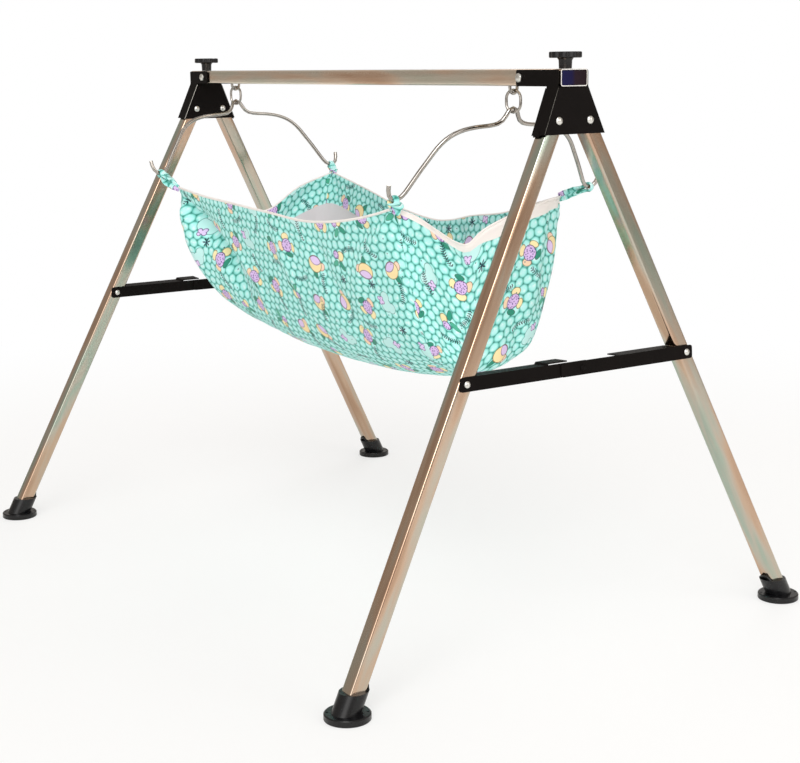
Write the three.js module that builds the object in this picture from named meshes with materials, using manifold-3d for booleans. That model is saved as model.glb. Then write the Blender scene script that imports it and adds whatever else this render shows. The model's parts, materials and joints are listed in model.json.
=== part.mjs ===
// Hanging baby cradle on a folding stand: a cloth hammock on two bent wire hangers,
// hooked by oblong links under a flat bar that two splayed A-frames of square tube carry.
// Millimetres, +Z up, +X along the bar, origin on the floor under the middle of the bar.
import * as THREE from 'three';
import { mergeVertices } from 'three/addons/utils/BufferGeometryUtils.js';
import Module from 'manifold-3d';

const wasm = await Module();
wasm.setup();
const rad = THREE.MathUtils.degToRad;

// Stand
const TUBE = 25;
const TUBE_R = 3.5;
const WALL = 1.5;
const BAR_W = 50;
const BAR_T = 25;
const BAR_Z = 865;
const BAR_HALF = 583.5;
const LEG_X = 570;
const PIVOT_Z = 803;
const PIVOT_Y = 29.4;
const SPLAY = rad(3.5);
const SPREAD = rad(26.7);
const LEG_TOP = 6;
const LEG_END = 886;
const SHEET = 2.2;
const GAP = 0.4;

// Bracket, in its own frame with the pivot line at height 0
const BRACKET_FACE = 15.5;
const BRACKET_TOP = 48;
const BRACKET_FOOT = -19.5;
const BRACKET_TOP_HALF = 28.5;
const BRACKET_FOOT_HALF = 57.5;
const ARM_LONG = 484;
const ARM_SHORT = 509;
const ARM_LONG_BOLT = 491.5;
const ARM_SHORT_BOLT = 528;
const KNOB_X = 563;

// Feet
const FOOT_R = 33.5;
const FOOT_T = 10;
const FOOT_Y = 428;
const FOOT_HOLE = [15, 24.3];
const SOCKET_R = 20.2;
const SOCKET_Z = 37.5;
const TAB_LOW = 851;
const TAB_TOP = 842;
const TAB_T = 3;

// Folding brace
const BRACE_DROP = 362;
const BRACE_H = 21;
const BRACE_END = 12;
const BRACE_CORNER = 4;
const BRACE_REACH = PIVOT_Y + BRACE_DROP * Math.tan(SPREAD);
const BRACE_LAP = 41;

// Hook, link and hanger
const HOOK_X = 442;
const LINK_TURN = rad(18);
const EYE_WIRE = 2.5;
const EYE_R = 10;
const EYE_DROP = 11.5;
const LINK_WIRE = 2.25;
const LINK_HALF = 13;
const LINK_TOP = 846.3;
const LINK_LOW = 812.8;
const ROD = 3.5;
const PEAK_Z = 819.1;
const LEAN = Math.atan(0.33);

// Hammock
const CLOTH = 2.4;
const STRAP = 1.6;
const STRAP_W = 8.6;
const HAMMOCK_R = 150;
const HAMMOCK_END_LEFT = -368;
const HAMMOCK_END_RIGHT = 380;
const HAMMOCK_LOW = 371;
const HAMMOCK_END_RISE = 33;
const HAMMOCK_TILT = -14;

const mat = (color, roughness, metalness) =>
  new THREE.MeshStandardMaterial({ color, roughness, metalness });
const STEEL = mat(0xc9bba8, 0.18, 1);
const ZINC = mat(0xd8d8d4, 0.3, 1);
const BLACK_COAT = mat(0x1b1715, 0.45, 0.2);
const BLACK_PLASTIC = mat(0x17171a, 0.5, 0);
const PRINT = mat(0x9fd3c6, 0.9, 0);

const cradle = new THREE.Group();

function add(name, geometry, material, parent = cradle) {
  const mesh = new THREE.Mesh(geometry, material);
  mesh.name = name;
  parent.add(mesh);
  return mesh;
}

// Solids for cutting and joining
function solid(geometry) {
  const bare = geometry.clone();
  bare.deleteAttribute('normal');
  if (bare.hasAttribute('uv')) bare.deleteAttribute('uv');
  const merged = mergeVertices(bare, 1e-4);
  return new wasm.Manifold(new wasm.Mesh({
    numProp: 3,
    vertProperties: new Float32Array(merged.attributes.position.array),
    triVerts: new Uint32Array(merged.index.array),
  }));
}

function geometryOf(body) {
  const mesh = body.getMesh();
  const geometry = new THREE.BufferGeometry();
  const xyz = new Float32Array(mesh.vertProperties);
  geometry.setAttribute('position', new THREE.BufferAttribute(xyz, 3));
  geometry.setIndex(new THREE.BufferAttribute(new Uint32Array(mesh.triVerts), 1));
  geometry.computeVertexNormals();
  return geometry;
}

const join = (first, ...rest) => geometryOf(rest.reduce((a, b) => a.add(solid(b)), solid(first)));
const cut = (first, ...rest) =>
  geometryOf(rest.reduce((a, b) => a.subtract(solid(b)), solid(first)));

// Plain shapes
function roundRect(w, h, r, steps = 3) {
  const points = [];
  const corners = [[1, 1, 0], [-1, 1, 90], [-1, -1, 180], [1, -1, 270]];
  for (const [sx, sy, start] of corners) {
    for (let i = 0; i <= steps; i++) {
      const a = rad(start + (90 * i) / steps);
      points.push(new THREE.Vector2(
        sx * (w / 2 - r) + r * Math.cos(a),
        sy * (h / 2 - r) + r * Math.sin(a)));
    }
  }
  return new THREE.Shape(points);
}

const polygon = (pairs) => new THREE.Shape(pairs.map(([x, y]) => new THREE.Vector2(x, y)));
const extrude = (shape, depth) =>
  new THREE.ExtrudeGeometry(shape, { depth, bevelEnabled: false, curveSegments: 8 });

// A block given by its two opposite corners
function block(x0, x1, y0, y1, z0, z1) {
  const geometry = new THREE.BoxGeometry(x1 - x0, y1 - y0, z1 - z0);
  return geometry.translate((x0 + x1) / 2, (y0 + y1) / 2, (z0 + z1) / 2);
}

// A round hole cutter or pin along x, y or z between two stations
function rod(axis, from, to, r, a = 0, b = 0, sides = 20) {
  const geometry = new THREE.CylinderGeometry(r, r, to - from, sides);
  const mid = (from + to) / 2;
  if (axis === 'x') return geometry.rotateZ(Math.PI / 2).translate(mid, a, b);
  if (axis === 'y') return geometry.translate(a, mid, b);
  return geometry.rotateX(Math.PI / 2).translate(a, b, mid);
}

// A turned piece along x, y or z from [station, radius] pairs that start and end on the axis
function turned(axis, profile, sides = 20) {
  const points = profile.map(([s, r]) => new THREE.Vector2(r, s));
  const geometry = new THREE.LatheGeometry(points, sides);
  if (axis === 'x') return geometry.rotateZ(-Math.PI / 2);
  if (axis === 'z') return geometry.rotateX(Math.PI / 2);
  return geometry;
}

// A profile drawn in the Y and Z directions, as thick as x0 to x1
function slab(pairs, x0, x1) {
  const geometry = extrude(polygon(pairs), x1 - x0);
  geometry.applyMatrix4(new THREE.Matrix4().makeBasis(
    new THREE.Vector3(0, 1, 0), new THREE.Vector3(0, 0, 1), new THREE.Vector3(1, 0, 0)));
  return geometry.translate(x0, 0, 0);
}

// Open wire along a path
function wire(points, radius, sides, steps) {
  const path = new THREE.CatmullRomCurve3(points, false, 'centripetal');
  const circle = [];
  for (let i = 0; i < sides; i++) {
    const a = (2 * Math.PI * i) / sides;
    circle.push(new THREE.Vector2(radius * Math.cos(a), radius * Math.sin(a)));
  }
  return new THREE.ExtrudeGeometry(new THREE.Shape(circle),
    { steps, bevelEnabled: false, extrudePath: path });
}

// Closed wire ring round a flat outline that lies in the X and Z directions
function ringWire(outline, radius, sides) {
  const position = [];
  const index = [];
  const n = outline.length;
  const across = new THREE.Vector3(0, 1, 0);
  outline.forEach((p, i) => {
    const ahead = outline[(i + 1) % n];
    const behind = outline[(i + n - 1) % n];
    const along = new THREE.Vector3().subVectors(ahead, behind).normalize();
    const out = new THREE.Vector3().crossVectors(along, across);
    for (let j = 0; j < sides; j++) {
      const a = (2 * Math.PI * j) / sides;
      const q = p.clone()
        .addScaledVector(out, radius * Math.cos(a))
        .addScaledVector(across, radius * Math.sin(a));
      position.push(q.x, q.y, q.z);
    }
  });
  for (let i = 0; i < n; i++) {
    for (let j = 0; j < sides; j++) {
      const a = i * sides + j;
      const b = i * sides + ((j + 1) % sides);
      const c = ((i + 1) % n) * sides + j;
      const d = ((i + 1) % n) * sides + ((j + 1) % sides);
      index.push(a, c, b, b, c, d);
    }
  }
  const geometry = new THREE.BufferGeometry();
  geometry.setAttribute('position', new THREE.Float32BufferAttribute(position, 3));
  geometry.setIndex(index);
  geometry.computeVertexNormals();
  return geometry;
}

// Top bar: rectangular tube, open at both ends, drilled for knobs, eyes and arm bolts
function topBar() {
  const section = roundRect(BAR_W, BAR_T, TUBE_R);
  section.holes.push(roundRect(BAR_W - 2 * WALL, BAR_T - 2 * WALL, TUBE_R - WALL));
  const tube = extrude(section, 2 * BAR_HALF);
  tube.applyMatrix4(new THREE.Matrix4().makeBasis(
    new THREE.Vector3(0, 1, 0), new THREE.Vector3(0, 0, 1), new THREE.Vector3(1, 0, 0)));
  tube.translate(-BAR_HALF, 0, BAR_Z);
  const holes = [];
  for (const end of [1, -1]) {
    holes.push(rod('z', BAR_Z - 20, BAR_Z + 20, 4.4, end * KNOB_X, 0));
    const front = [-BAR_W / 2 - 5, -BAR_W / 2 + 5];
    const back = [BAR_W / 2 - 5, BAR_W / 2 + 5];
    holes.push(rod('y', ...(end > 0 ? front : back), 3.4, end * ARM_LONG_BOLT, BAR_Z));
    holes.push(rod('y', ...(end > 0 ? back : front), 3.4, end * ARM_SHORT_BOLT, BAR_Z));
    for (const side of [1, -1]) {
      const x = end * HOOK_X - side * EYE_R * Math.sin(LINK_TURN);
      const y = side * EYE_R * Math.cos(LINK_TURN);
      holes.push(rod('z', BAR_Z - 16, BAR_Z - 8, EYE_WIRE + GAP, x, y, 16));
    }
  }
  return cut(tube, ...holes);
}

// Moulded plug in the end of the bar, its face just inside the rim
function barPlug() {
  const inner = roundRect(BAR_W - 2 * WALL - 2 * GAP, BAR_T - 2 * WALL - 2 * GAP, 1.6);
  const geometry = extrude(inner, 14);
  geometry.applyMatrix4(new THREE.Matrix4().makeBasis(
    new THREE.Vector3(0, 1, 0), new THREE.Vector3(0, 0, 1), new THREE.Vector3(1, 0, 0)));
  const pocket = block(-1, 11, -18, 18, -6.5, 6.5);
  return cut(geometry, pocket).translate(BAR_HALF - 15, 0, BAR_Z);
}

// Eye staple under the bar, its two shanks through the lower wall
function eye() {
  const points = [];
  const low = BAR_Z - BAR_T / 2 - EYE_DROP + EYE_R;
  points.push(new THREE.Vector3(0, -EYE_R, BAR_Z - 8));
  points.push(new THREE.Vector3(0, -EYE_R, BAR_Z - 11));
  for (let i = 0; i <= 8; i++) {
    const a = Math.PI * (1 + i / 8);
    points.push(new THREE.Vector3(0, EYE_R * Math.cos(a), low + EYE_R * Math.sin(a)));
  }
  points.push(new THREE.Vector3(0, EYE_R, BAR_Z - 11));
  points.push(new THREE.Vector3(0, EYE_R, BAR_Z - 8));
  return wire(points, EYE_WIRE, 10, 22).rotateZ(LINK_TURN);
}

// Oblong link of bent wire
function link() {
  const outline = [];
  const r = LINK_HALF;
  for (let i = 0; i <= 10; i++) {
    const a = (Math.PI * i) / 10;
    outline.push(new THREE.Vector3(r * Math.cos(a), 0, LINK_TOP - r + r * Math.sin(a)));
  }
  for (let i = 0; i <= 10; i++) {
    const a = Math.PI + (Math.PI * i) / 10;
    outline.push(new THREE.Vector3(r * Math.cos(a), 0, LINK_LOW + r + r * Math.sin(a)));
  }
  return ringWire(outline, LINK_WIRE, 10).rotateZ(LINK_TURN);
}

// Half of the hanger rod: distance out from the middle and drop below the peak
const HANGER_HALF = [
  [7, 2.8], [12.5, 13], [19.5, 21], [32, 24.5], [68, 27.5], [90, 31.5], [110, 39.5], [126, 52],
  [140, 70], [156, 93], [169, 113], [177, 124.5], [187, 131], [197, 130], [204, 121], [206, 108],
];

function hanger() {
  const half = (side) => HANGER_HALF.map(([y, drop]) =>
    new THREE.Vector3(-drop * Math.tan(LEAN), side * y, PEAK_Z - drop));
  const points = [...half(-1).reverse(), new THREE.Vector3(0, 0, PEAK_Z), ...half(1)];
  return wire(points, ROD, 8, 64);
}

// Bracket shell: outer plate, two side flanges, the seat under the bar and two arms along it
function bracketShell() {
  const face = BRACKET_FACE;
  const top = BRACKET_TOP;
  const foot = BRACKET_FOOT;
  const a = BRACKET_TOP_HALF;
  const b = BRACKET_FOOT_HALF;
  const parts = [slab([[-b, foot], [b, foot], [a, top], [-a, top]], face - SHEET, face)];
  for (const s of [1, -1]) {
    const t = SHEET * 1.08;
    const flange = [[s * b, foot], [s * a, top], [s * (a - t), top], [s * (b - t), foot]];
    parts.push(slab(s > 0 ? flange : flange.reverse(), -face, face));
  }
  // small lip that hangs below the flange on one side
  parts.push(slab([[-b, foot - 2.5], [-b + 2, foot - 2.5], [-b + 3, foot + 6], [-b + 1, foot + 6]]
    .reverse(), -11, 2));
  parts.forEach((part) => part.rotateY(-SPLAY).translate(LEG_X, 0, PIVOT_Z));
  parts.push(block(LEG_X - 14, LEG_X + 11, -27, 27, BAR_Z - 15.4, BAR_Z - BAR_T / 2 - GAP));
  for (const [s, end] of [[-1, ARM_LONG], [1, ARM_SHORT]]) {
    const reach = LEG_X + 11 - end;
    const shape = roundRect(reach, BAR_T - 1, 3);
    const arm = extrude(shape, SHEET + 0.3);
    arm.rotateX(Math.PI / 2);
    arm.translate(end + reach / 2, s > 0 ? a : -a + SHEET + 0.3, BAR_Z - 0.5);
    parts.push(arm);
    const ear = [s * a, s * (a - SHEET - 0.3)].sort((p, q) => p - q);
    parts.push(block(LEG_X - 15, LEG_X + 11, ...ear, BAR_Z - 18, BAR_Z - 6));
  }
  const holes = [rod('z', BAR_Z - 30, BAR_Z, 4.4, KNOB_X, 0)];
  holes.push(rod('y', -BAR_W, 0, 3.4, ARM_LONG_BOLT, BAR_Z));
  holes.push(rod('y', 0, BAR_W, 3.4, ARM_SHORT_BOLT, BAR_Z));
  for (const s of [1, -1]) {
    holes.push(rod('x', 5, 25, 4.4, s * PIVOT_Y, 0)
      .rotateY(-SPLAY).translate(LEG_X, 0, PIVOT_Z));
  }
  const body = parts.slice(1).reduce((sum, part) => sum.add(solid(part)), solid(parts[0]));
  return geometryOf(holes.reduce((sum, hole) => sum.subtract(solid(hole)), body));
}

// Inner plate of the bracket, between the flanges
function bracketPlate() {
  const edge = SHEET * 1.08 + GAP;
  const a = BRACKET_TOP_HALF - edge - 1;
  const b = BRACKET_FOOT_HALF - edge;
  const top = BRACKET_TOP + 1.5;
  const foot = BRACKET_FOOT;
  const x0 = -BRACKET_FACE;
  const x1 = x0 + SHEET;
  const plate = slab([[-b, foot], [b, foot], [a, top], [-a, top]], x0, x1);
  const holes = [1, -1].map((s) => rod('x', x0 - 5, x1 + 5, 4.4, s * PIVOT_Y, 0));
  return cut(plate, ...holes).rotateY(-SPLAY).translate(LEG_X, 0, PIVOT_Z);
}

// Pivot pin of a leg, through both plates, with a domed head at each end
function legPin(side) {
  const f = BRACKET_FACE + 0.3;
  const geometry = turned('x', [[-f - 3.4, 0], [-f - 3, 3.2], [-f - 1.6, 5.4], [-f, 6.2],
    [-f, 4], [f, 4], [f, 6.2], [f + 1.6, 5.4], [f + 3, 3.2], [f + 3.4, 0]]);
  return geometry.translate(0, side * PIVOT_Y, 0).rotateY(-SPLAY).translate(LEG_X, 0, PIVOT_Z);
}

// Bolt through an arm into the side of the bar, with a spacer collar between them
function armBolt(side, x) {
  const out = BRACKET_TOP_HALF + 0.3;
  const inside = BRACKET_TOP_HALF - SHEET - 0.6;
  const wall = BAR_W / 2 + 0.3;
  const geometry = turned('y', [[16, 0], [16, 3], [wall, 3], [wall, 5.6], [inside, 5.6],
    [inside, 3], [out, 3], [out, 7], [out + 2.2, 6.6], [out + 4, 4.4], [out + 4.6, 0]], 16);
  if (side < 0) geometry.rotateZ(Math.PI);
  return geometry.translate(x, 0, BAR_Z);
}

// Lobed clamp knob on its stem, with a blind bore for the screw
function knob() {
  const lobes = 8;
  const outline = [];
  for (let i = 0; i < lobes * 8; i++) {
    const a = (2 * Math.PI * i) / (lobes * 8);
    const r = 24 - 3 * Math.pow(Math.abs(Math.sin((lobes * a) / 2)), 5);
    outline.push(new THREE.Vector2(r * Math.cos(a), r * Math.sin(a)));
  }
  const base = BAR_Z + BAR_T / 2 + 0.3;
  const head = new THREE.ExtrudeGeometry(new THREE.Shape(outline),
    { depth: 6.6, bevelEnabled: true, bevelSegments: 1, bevelSize: 1.2, bevelThickness: 1.2,
      bevelOffset: -1.2 });
  head.translate(0, 0, base + 15.2 + 1.2);
  const stem = turned('z', [[base, 0], [base, 9.4], [base + 12, 10], [base + 15, 12],
    [base + 17, 12], [base + 17, 0]], 28);
  return cut(join(head, stem), rod('z', base - 1, base + 14, 4.2, 0, 0)).translate(KNOB_X, 0, 0);
}

// Screw of the knob, down through the bar and the bracket's seat
const knobScrew = () => turned('z', [[BAR_Z - 27, 0], [BAR_Z - 26, 3.2], [BAR_Z - 25, 3.8],
  [BAR_Z + 26, 3.8], [BAR_Z + 26, 0]], 16).translate(KNOB_X, 0, 0);

// Square nut that the screw pulls up under the seat
function clampNut() {
  const body = block(-8, 8, -8, 8, BAR_Z - 22.4, BAR_Z - 15.8);
  return cut(body, rod('z', BAR_Z - 30, BAR_Z, 4.2, 0, 0, 16)).translate(KNOB_X, 0, 0);
}

// Leg: square tube from just above its pivot down into the foot, axis along Z
function leg() {
  const section = roundRect(TUBE, TUBE, TUBE_R);
  section.holes.push(roundRect(TUBE - 2 * WALL, TUBE - 2 * WALL, TUBE_R - WALL));
  const tube = extrude(section, LEG_TOP + LEG_END).translate(0, 0, -LEG_END);
  const reach = BRACE_DROP / Math.cos(SPREAD);
  const pin = rod('x', -20, 20, 4.4, 0, 0);
  const rivet = rod('x', 5, 20, 3.4, 0, -reach);
  return cut(tube, pin, rivet);
}

// Foot: round flange on the floor with two screw holes, and a slanted round socket with a
// square bore, whose level rim carries a screw tab against the under side of the leg
function foot(side) {
  const disc = turned('z', [[0, 0], [0, FOOT_R - 0.8], [0.8, FOOT_R], [FOOT_T - 1.6, FOOT_R],
    [FOOT_T, FOOT_R - 1.6], [FOOT_T, 0]], 40);
  const cx = LEG_X + PIVOT_Z * Math.tan(SPLAY);
  disc.translate(cx, side * FOOT_Y, 0);
  const slant = (geometry) => geometry.rotateX(side * SPREAD)
    .translate(0, side * PIVOT_Y, 0).rotateY(-SPLAY).translate(LEG_X, 0, PIVOT_Z);
  const outer = slant(rod('z', -LEG_END - 22, -LEG_END + 60, SOCKET_R, 0, 0, 36));
  const near = [side * FOOT_Y - 80, side * FOOT_Y + 80];
  const above = block(LEG_X - 60, LEG_X + 160, ...near, SOCKET_Z, 120);
  const below = block(LEG_X - 60, LEG_X + 160, ...near, -60, 0);
  const inner = TUBE / 2 + GAP;
  const tabShape = polygon([[-12, -LEG_END + 10], [12, -LEG_END + 10], [12, -TAB_LOW],
    [5, -TAB_TOP], [-5, -TAB_TOP], [-12, -TAB_LOW]]);
  const tab = slant(extrude(tabShape, TAB_T).rotateX(Math.PI / 2)
    .translate(0, side > 0 ? -inner : inner + TAB_T, 0));
  const tabHole = slant(rod('y', -side * inner - 5, -side * inner + 5, 1.7, 0, -TAB_LOW + 1, 14));
  const pocket = slant(extrude(roundRect(TUBE + 2 * GAP, TUBE + 2 * GAP, TUBE_R), 60)
    .translate(0, 0, -LEG_END - GAP));
  const screws = [1, -1].map((s) => rod('z', -2, FOOT_T + 2, 2,
    cx + s * FOOT_HOLE[0], side * FOOT_Y + s * FOOT_HOLE[1], 14));
  const socket = join(cut(outer, above), tab);
  return cut(join(disc, socket), pocket, tabHole, below, ...screws);
}

// Half of the folding brace, from its leg rivet at 0 to the middle, along +Y
function braceHalf(x, reach, end, flangeTo, raised) {
  const h = BRACE_H / 2;
  const length = reach + end + BRACE_END;
  const outline = roundRect(length, BRACE_H, BRACE_CORNER).getPoints()
    .map((p) => [p.x + length / 2 - BRACE_END, p.y]);
  const parts = [slab(outline, x, x + 2)];
  const low = h - 2;
  const bar = [[20, low], [flangeTo, low], [flangeTo, h], [20, h]];
  parts.push(slab(bar, -12, x + 1));
  if (raised > 0) {
    const step = [[flangeTo - 4, low], [flangeTo, low], [flangeTo + 3, low + raised],
      [flangeTo + 38, low + raised], [flangeTo + 38, h + raised], [flangeTo, h + raised]];
    parts.push(slab(step, -12, x + 2));
  }
  const holes = [0, reach].map((y) => rod('x', x - 4, x + 6, 3.4, y, 0, 16));
  return cut(join(...parts), ...holes);
}

// Rivet through a brace plate into the leg, with a collar that spaces the outer plate
function braceRivet(plate) {
  const face = TUBE / 2 + 0.3;
  const head = plate + 2 + 0.3;
  const collar = plate > 14 ? [[face, 6], [plate - 0.3, 6]] : [];
  return turned('x', [[6, 0], [6, 3], [face, 3], ...collar, [plate - 0.3, 3], [head, 3],
    [head, 5.4], [head + 1.4, 4.8], [head + 2.6, 2.8], [head + 3, 0]], 18);
}

// Middle rivet of the brace, carried by the outer half
const middleRivet = (plate) => turned('x', [[plate + 0.1, 0], [plate + 0.1, 3], [plate + 2.3, 3],
  [plate + 2.3, 5], [plate + 3.6, 4.4], [plate + 4.6, 2.6], [plate + 5, 0]], 18);

// Cloth hammock: a round-bottomed trough with upright ends, hung by its four corners
const RIM = {
  front: [[-352, -180, 664], [-230, -188, 655], [-100, -192, 649], [20, -193, 643],
    [140, -192, 637], [250, -191, 646], [335, -190, 661], [391, -188, 675]],
  right: [[391, -188, 675], [396, -150, 660], [396, -110, 636], [395, -75, 616],
    [393, -52, 610], [392, -22, 629], [389, 28, 647], [378, 101, 663], [350, 175, 670]],
  back: [[350, 175, 670], [285, 178, 655], [190, 176, 631], [103, 174, 620], [40, 173, 608],
    [-10, 173, 605], [-120, 175, 618], [-220, 180, 640], [-310, 186, 657], [-388, 188, 672]],
  left: [[-388, 188, 672], [-390, 140, 658], [-390, 100, 643], [-388, 66, 622], [-386, 34, 606],
    [-380, -40, 603], [-371, -120, 633], [-352, -180, 664]],
};
const NX = 20;
const NY = 10;
const ROWS = 6;

const lowLine = (x) => HAMMOCK_LOW + HAMMOCK_TILT * (x / 375) + HAMMOCK_END_RISE * (x / 375) ** 2;
const trough = (x, y) => lowLine(x) + HAMMOCK_R - Math.sqrt(HAMMOCK_R ** 2 - y * y);

function hammockGrid() {
  const edgeY = HAMMOCK_R * Math.SQRT1_2;
  const loop = [];
  const sides = [['front', NX], ['right', NY], ['back', NX], ['left', NY]];
  for (const [side, n] of sides) {
    const curve = new THREE.CatmullRomCurve3(RIM[side].map((p) => new THREE.Vector3(...p)),
      false, 'centripetal');
    for (let i = 0; i < n; i++) loop.push({ side, f: i / n, rim: curve.getPointAt(i / n) });
  }
  const along = (f) => THREE.MathUtils.lerp(HAMMOCK_END_LEFT, HAMMOCK_END_RIGHT, f);
  for (const c of loop) {
    let x;
    let q;
    if (c.side === 'front') [x, q] = [along(c.f), -1];
    if (c.side === 'back') [x, q] = [along(1 - c.f), 1];
    if (c.side === 'right') [x, q] = [HAMMOCK_END_RIGHT, 2 * c.f - 1];
    if (c.side === 'left') [x, q] = [HAMMOCK_END_LEFT, 1 - 2 * c.f];
    const out = Math.sign(x) * 7 * (1 - q * q);
    c.edge = new THREE.Vector3(x, edgeY * q, trough(x, edgeY * q));
    c.knee = new THREE.Vector3(x + out, 153 * q, lowLine(x) + 60 + 35 * q * q);
  }
  const rows = [];
  for (let k = 0; k <= ROWS; k++) {
    const w = k / ROWS;
    rows.push(loop.map((c, i) => {
      const p = c.rim.clone().multiplyScalar((1 - w) ** 2)
        .addScaledVector(c.knee, 2 * w * (1 - w)).addScaledVector(c.edge, w * w);
      // shallow folds that fan out from the corners
      const long = c.side === 'front' || c.side === 'back';
      const wave = Math.sin(2 * Math.PI * (long ? 5 : 2.5) * c.f);
      const depth = (long ? 3.5 : 5) * Math.sin(Math.PI * w) * Math.sin(Math.PI * c.f);
      if (long) p.y += Math.sign(p.y) * wave * depth;
      else p.x += Math.sign(p.x) * wave * depth;
      return p;
    }));
  }
  return { rows, loopLength: loop.length };
}

// Outer skin as points and triangles: the wall rows, then the floor patch
function hammockSkin() {
  const { rows, loopLength } = hammockGrid();
  const points = rows.flat();
  const faces = [];
  for (let k = 0; k < ROWS; k++) {
    for (let i = 0; i < loopLength; i++) {
      const j = (i + 1) % loopLength;
      const a = k * loopLength + i;
      const b = k * loopLength + j;
      faces.push([a, a + loopLength, b], [b, a + loopLength, b + loopLength]);
    }
  }
  const last = ROWS * loopLength;
  const floor = [];
  for (let i = 0; i <= NX; i++) {
    floor.push([]);
    for (let j = 0; j <= NY; j++) {
      let id;
      if (j === 0) id = last + i;
      else if (i === NX) id = last + NX + j;
      else if (j === NY) id = last + NX + NY + (NX - i);
      else if (i === 0) id = last + 2 * NX + NY + (NY - j);
      else {
        const x = THREE.MathUtils.lerp(HAMMOCK_END_LEFT, HAMMOCK_END_RIGHT, i / NX);
        const y = HAMMOCK_R * Math.SQRT1_2 * (2 * j / NY - 1);
        id = points.length;
        points.push(new THREE.Vector3(x, y, trough(x, y)));
      }
      floor[i].push(id);
    }
  }
  for (let i = 0; i < NX; i++) {
    for (let j = 0; j < NY; j++) {
      const [a, b, c, d] = [floor[i][j], floor[i + 1][j], floor[i][j + 1], floor[i + 1][j + 1]];
      faces.push([a, c, b], [b, c, d]);
    }
  }
  return { points, faces, loopLength };
}

// Closed thin solid, from a skin pushed out by one amount and in by another
function hammock(outward = 0, inward = CLOTH) {
  const { points, faces, loopLength } = hammockSkin();
  const skin = new THREE.BufferGeometry().setFromPoints(points);
  skin.setIndex(faces.flat());
  skin.computeVertexNormals();
  const normal = skin.attributes.normal;
  const n = points.length;
  const position = [];
  for (const amount of [outward, -inward]) {
    points.forEach((p, i) => {
      position.push(p.x + amount * normal.getX(i), p.y + amount * normal.getY(i),
        p.z + amount * normal.getZ(i) + (i < loopLength ? outward : 0));
    });
  }
  const index = faces.flat();
  for (const [a, b, c] of faces) index.push(a + n, c + n, b + n);
  for (let i = 0; i < loopLength; i++) {
    const j = (i + 1) % loopLength;
    index.push(i, j, i + n, j, j + n, i + n);
  }
  const geometry = new THREE.BufferGeometry();
  geometry.setAttribute('position', new THREE.Float32BufferAttribute(position, 3));
  geometry.setIndex(index);
  geometry.computeVertexNormals();
  return geometry;
}

// Strap loop over a hook: a flat band round the rod that runs down to a corner of the cloth
function strap(hook, corner) {
  const length = hook.distanceTo(corner);
  const up = new THREE.Vector3().subVectors(hook, corner).normalize();
  const across = new THREE.Vector3(0, 1, 0).addScaledVector(up, -up.y).normalize();
  const wide = new THREE.Vector3().crossVectors(across, up);
  const drop = (r, low, half) => {
    const pairs = [];
    for (let i = 0; i <= 12; i++) {
      const a = -0.15 + ((Math.PI + 0.3) * i) / 12;
      pairs.push([r * Math.cos(a), -2 + r * Math.sin(a)]);
    }
    pairs.push([-half, low], [half, low]);
    return pairs;
  };
  const outer = polygon(drop(10.3, -length - 2, 4));
  outer.holes.push(polygon(drop(10.3 - STRAP, -length + 7, 4 - STRAP)));
  const band = extrude(outer, STRAP_W).translate(0, 0, -STRAP_W / 2);
  band.applyMatrix4(new THREE.Matrix4().makeBasis(wide, up, across.clone().negate())
    .setPosition(hook));
  const pieces = solid(band).subtract(solid(hammock(GAP, CLOTH + GAP))).decompose();
  pieces.sort((p, q) => q.volume() - p.volume());
  return geometryOf(pieces[0]);
}

// Assembly: what is the same at both ends is made once and turned half round for the left end
const ends = [['right', 0], ['left', Math.PI]];
const turn = (geometry, angle) => geometry.rotateZ(angle);

add('top_bar', topBar(), STEEL);
for (const [end, angle] of ends) {
  add(`bar_plug_${end}`, turn(barPlug(), angle), BLACK_PLASTIC);
  add(`bracket_shell_${end}`, turn(bracketShell(), angle), BLACK_COAT);
  add(`bracket_plate_${end}`, turn(bracketPlate(), angle), BLACK_COAT);
  const near = angle ? 'back' : 'front';
  const far = angle ? 'front' : 'back';
  add(`leg_pin_${near}_${end}`, turn(legPin(-1), angle), ZINC);
  add(`leg_pin_${far}_${end}`, turn(legPin(1), angle), ZINC);
  add(`arm_bolt_${near}_${end}`, turn(armBolt(-1, ARM_LONG_BOLT), angle), ZINC);
  add(`arm_bolt_${far}_${end}`, turn(armBolt(1, ARM_SHORT_BOLT), angle), ZINC);
  add(`knob_${end}`, turn(knob(), angle), BLACK_PLASTIC);
  add(`knob_screw_${end}`, turn(knobScrew(), angle), ZINC);
  add(`clamp_nut_${end}`, turn(clampNut(), angle), ZINC);
  add(`foot_${near}_${end}`, turn(foot(-1), angle), BLACK_PLASTIC);
  add(`foot_${far}_${end}`, turn(foot(1), angle), BLACK_PLASTIC);
}

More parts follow.
